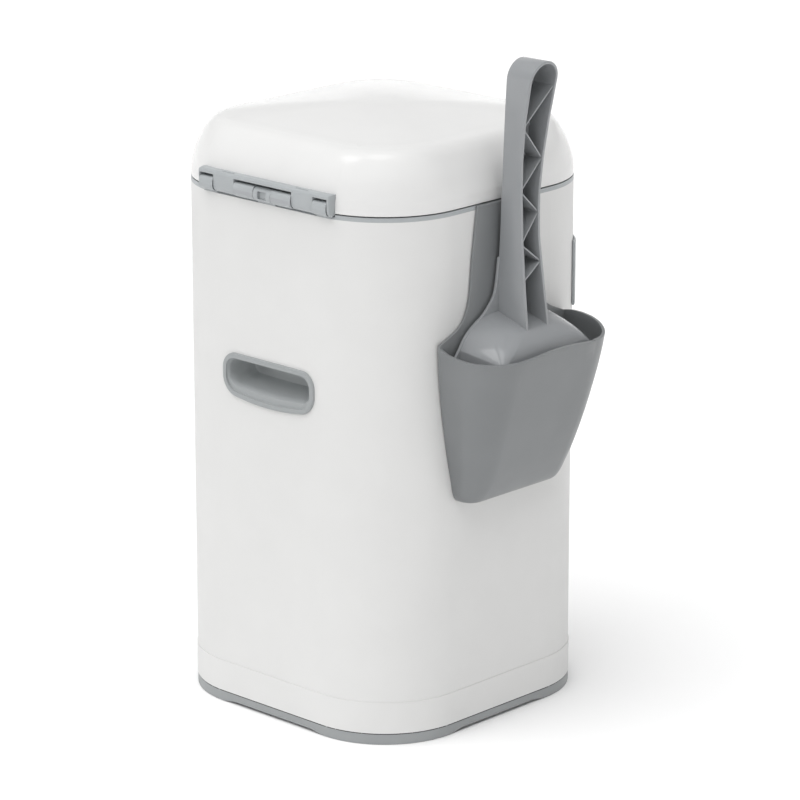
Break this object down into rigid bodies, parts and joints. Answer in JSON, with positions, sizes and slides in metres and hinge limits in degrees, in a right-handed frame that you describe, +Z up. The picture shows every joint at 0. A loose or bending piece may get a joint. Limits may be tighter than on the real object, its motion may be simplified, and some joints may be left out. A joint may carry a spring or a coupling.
{
  "type": "litter disposal pail",
  "caption": "Tall rounded-square litter disposal pail with a hinged lid, swing-up top unit with bag refill, sliding spring clamp, and a scoop in a side holder.",
  "frame": {"origin": "centre of the pail's square footprint, at floor level under the middle foot", "axes": "+Z up; -Y towards the front with the pull handle, +Y towards the hinge and the carrying grip; -X towards the scoop and its holder"},
  "size_m": [0.2833, 0.252, 0.4825],
  "materials": {
    "white_plastic": "fine matte grain",
    "lid_white": "smooth, glossy",
    "liner_white": "smooth",
    "base_grey": "fine grain",
    "hinge_grey": "satin",
    "deck_grey": "satin",
    "holder_grey": "satin gloss",
    "scoop_grey": "glossy",
    "refill_plastic": "smooth",
    "film": "soft folded film",
    "seal_rubber": "matte",
    "screw_steel": "zinc plated",
    "blade_steel": "ground",
    "spring_steel": "drawn wire"
  },
  "bodies": {
    "pail": {"casing": "white_plastic", "base_skirt": "white_plastic", "base_tray": "base_grey", "base_screws": "screw_steel", "grip_cup": "hinge_grey", "collar": "hinge_grey", "hinge_pin": "screw_steel", "scoop_holder": "holder_grey"},
    "top_unit": {"deck": "deck_grey", "front_apron": "white_plastic", "apron_screws": "screw_steel", "refill_tray": "refill_plastic", "film_pack": "film", "refill_cover": "refill_plastic", "clamp_housing": "deck_grey", "housing_screws": "screw_steel", "fixed_jaw_seal": "seal_rubber", "cutter_body": "deck_grey", "cutter_blade": "blade_steel"},
    "gate": {"gate_plate": "deck_grey", "gate_seal": "seal_rubber", "pull_handle": "hinge_grey", "handle_screws": "screw_steel", "return_springs": "spring_steel"},
    "lid": {"lid_shell": "lid_white", "lid_liner": "liner_white", "lid_gasket": "seal_rubber", "lid_hinge_bar": "hinge_grey", "lid_screws": "screw_steel"},
    "scoop": {"scoop": "scoop_grey"}
  },
  "joints": [
    {"name": "top_unit_hinge", "type": "hinge", "parent": "pail", "child": "top_unit", "pos_m": [0, 0.1153, 0.3842], "axis": [-1, 0, 0], "range_deg": [0, 42]},
    {"name": "gate_slide", "type": "slide", "parent": "top_unit", "child": "gate", "axis": [0, -1, 0], "range_m": [0, 0.07], "stiffness_N_per_m": 150, "springref_m": -0.02, "deforming": ["return_springs"]},
    {"name": "lid_hinge", "type": "hinge", "parent": "top_unit", "child": "lid", "pos_m": [0, 0.1153, 0.3842], "axis": [-1, 0, 0], "range_deg": [0, 90]},
    {"name": "scoop_lift", "type": "slide", "parent": "pail", "child": "scoop", "axis": [0, 0, 1], "range_m": [0, 0.2]}
  ]
}
